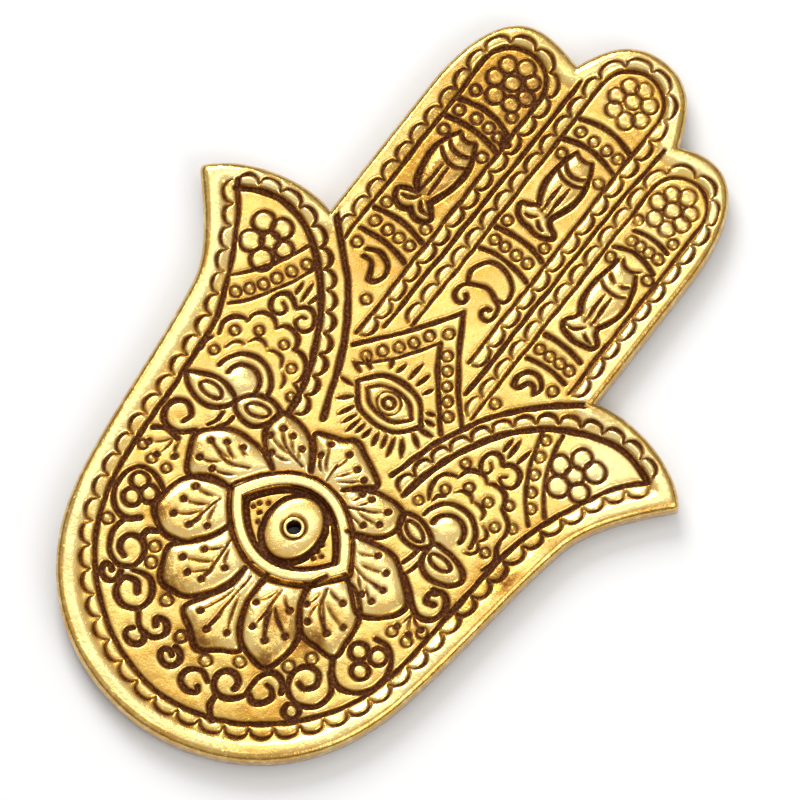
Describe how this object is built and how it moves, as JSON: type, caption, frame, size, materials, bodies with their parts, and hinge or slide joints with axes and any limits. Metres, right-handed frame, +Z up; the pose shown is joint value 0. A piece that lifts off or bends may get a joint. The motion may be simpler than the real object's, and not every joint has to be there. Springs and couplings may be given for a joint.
{
  "type": "hamsa incense holder",
  "caption": "Shallow metal dish shaped as an open hand with flared thumbs, carrying a raised lotus and eye whose pupil is the socket for an incense stick.",
  "frame": {"origin": "middle of the footprint on the table, under the middle of the hand's length and width", "axes": "+Y towards the fingertips, +Z up out of the decorated face, +X towards the right thumb as seen from above"},
  "size_m": [0.0962, 0.1392, 0.006],
  "materials": {
    "cast_gold": "cast, carved, darkened red brown in the cuts and polished bright on the high places",
    "polished_gold": "polished",
    "turned_gold": "turned and polished",
    "felt": "pressed felt"
  },
  "bodies": {
    "root": {"hand_plate": "cast_gold", "iris_boss": "polished_gold", "stick_socket": "turned_gold", "foot_pad_left_finger": "felt", "foot_pad_right_finger": "felt", "foot_pad_left_palm": "felt", "foot_pad_right_palm": "felt"}
  },
  "joints": []
}
